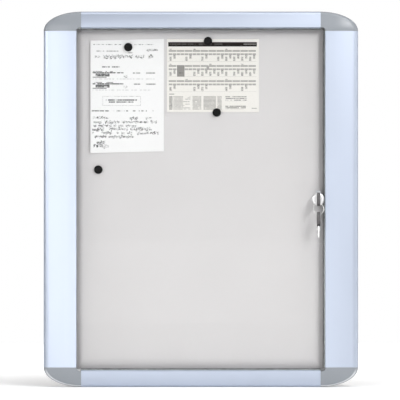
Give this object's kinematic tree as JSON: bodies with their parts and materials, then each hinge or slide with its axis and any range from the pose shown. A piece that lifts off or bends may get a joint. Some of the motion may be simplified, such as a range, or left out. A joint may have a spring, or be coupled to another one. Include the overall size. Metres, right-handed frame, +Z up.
{
  "type": "notice board display case",
  "caption": "Shallow wall-hung notice case: crowned frame with domed corners, magnetic board and a clear pane that swings on hidden pivots and locks with a cam lock.",
  "frame": {"origin": "centre of the four wall-fixing holes, in the plane of the wall", "axes": "+X to the right, +Z up, +Y into the wall, so the front faces -Y"},
  "size_m": [0.86, 0.1004, 1.026],
  "materials": {
    "anodised_aluminium": "pale satin anodised",
    "cover_plastic": "fine grained grey moulding",
    "bracket_alloy": "as cast",
    "fixing_steel": "zinc plated",
    "backing_fibreboard": "plain hardboard",
    "board_lacquer": "pale grey lacquer",
    "seal_rubber": "soft matt",
    "pane_acrylic": "clear polished",
    "bush_nylon": "natural nylon",
    "lock_chrome": "bright nickel-chrome plate",
    "plug_metal": "satin nickel plate",
    "key_metal": "nickel plate",
    "key_plastic": "dark grey moulding",
    "magnet_plastic": "black moulding",
    "ferrite": "ground ferrite",
    "notice_paper": "white office paper",
    "timetable_paper": "cream printed paper"
  },
  "bodies": {
    "case": {"left_profile": "anodised_aluminium", "right_profile": "anodised_aluminium", "top_profile": "anodised_aluminium", "bottom_profile": "anodised_aluminium", "corner_cover_top_right": "cover_plastic", "corner_cover_top_left": "cover_plastic", "corner_cover_bottom_right": "cover_plastic", "corner_cover_bottom_left": "cover_plastic", "corner_bracket_top_right": "bracket_alloy", "corner_bracket_top_left": "bracket_alloy", "corner_bracket_bottom_right": "bracket_alloy", "corner_bracket_bottom_left": "bracket_alloy", "bracket_screws": "fixing_steel", "backing_board": "backing_fibreboard", "magnetic_panel": "board_lacquer", "strike_strip": "anodised_aluminium", "strike_screws": "fixing_steel", "seal_top": "seal_rubber", "seal_bottom": "seal_rubber", "seal_lock_side": "seal_rubber", "hinge_bush_top": "bush_nylon", "hinge_bush_bottom": "bush_nylon", "notice_sheet": "notice_paper", "timetable_sheet": "timetable_paper"},
    "door": {"door_pane": "pane_acrylic", "hinge_stile": "anodised_aluminium", "stile_gasket": "seal_rubber", "hinge_arm_top": "fixing_steel", "hinge_arm_bottom": "fixing_steel", "hinge_pin_top": "fixing_steel", "hinge_pin_bottom": "fixing_steel", "arm_screws": "fixing_steel", "lock_body": "lock_chrome", "lock_front_washer": "seal_rubber", "lock_back_washer": "fixing_steel", "lock_nut": "fixing_steel"},
    "lock_turner": {"lock_plug": "plug_metal", "lock_cam": "fixing_steel", "cam_screw": "fixing_steel"},
    "key": {"key_blade": "key_metal", "key_head": "key_plastic"},
    "ring": {"key_ring": "key_metal"},
    "spare_key": {"spare_key_blade": "key_metal", "spare_key_head": "key_plastic"},
    "magnet_1": {"magnet_cap_1": "magnet_plastic", "magnet_disc_1": "ferrite"},
    "magnet_2": {"magnet_cap_2": "magnet_plastic", "magnet_disc_2": "ferrite"},
    "magnet_3": {"magnet_cap_3": "magnet_plastic", "magnet_disc_3": "ferrite"},
    "magnet_4": {"magnet_cap_4": "magnet_plastic", "magnet_disc_4": "ferrite"}
  },
  "joints": [
    {"name": "door_hinge", "type": "hinge", "parent": "case", "child": "door", "pos_m": [-0.333, -0.042, 0], "axis": [0, 0, -1], "range_deg": [0, 100]},
    {"name": "lock_turn", "type": "hinge", "parent": "door", "child": "lock_turner", "pos_m": [0.3205, 0, 0], "axis": [0, 1, 0], "range_deg": [0, 90]},
    {"name": "key_pull", "type": "slide", "parent": "lock_turner", "child": "key", "axis": [0, -1, 0], "range_m": [0, 0.024]},
    {"name": "ring_swing", "type": "hinge", "parent": "key", "child": "ring", "pos_m": [0.3205, -0.0819, -0.0123], "axis": [1, 0, 0], "range_deg": [-40, 15]},
    {"name": "spare_key_swing", "type": "hinge", "parent": "ring", "child": "spare_key", "pos_m": [0.3205, -0.0819, -0.0409], "axis": [1, 0, 0], "range_deg": [-40, 15]},
    {"name": "magnet_lift_1", "type": "slide", "parent": "case", "child": "magnet_1", "axis": [0, -1, 0], "range_m": [0, 0.012]},
    {"name": "magnet_lift_2", "type": "slide", "parent": "case", "child": "magnet_2", "axis": [0, -1, 0], "range_m": [0, 0.012]},
    {"name": "magnet_lift_3", "type": "slide", "parent": "case", "child": "magnet_3", "axis": [0, -1, 0], "range_m": [0, 0.012]},
    {"name": "magnet_lift_4", "type": "slide", "parent": "case", "child": "magnet_4", "axis": [0, -1, 0], "range_m": [0, 0.012]}
  ]
}
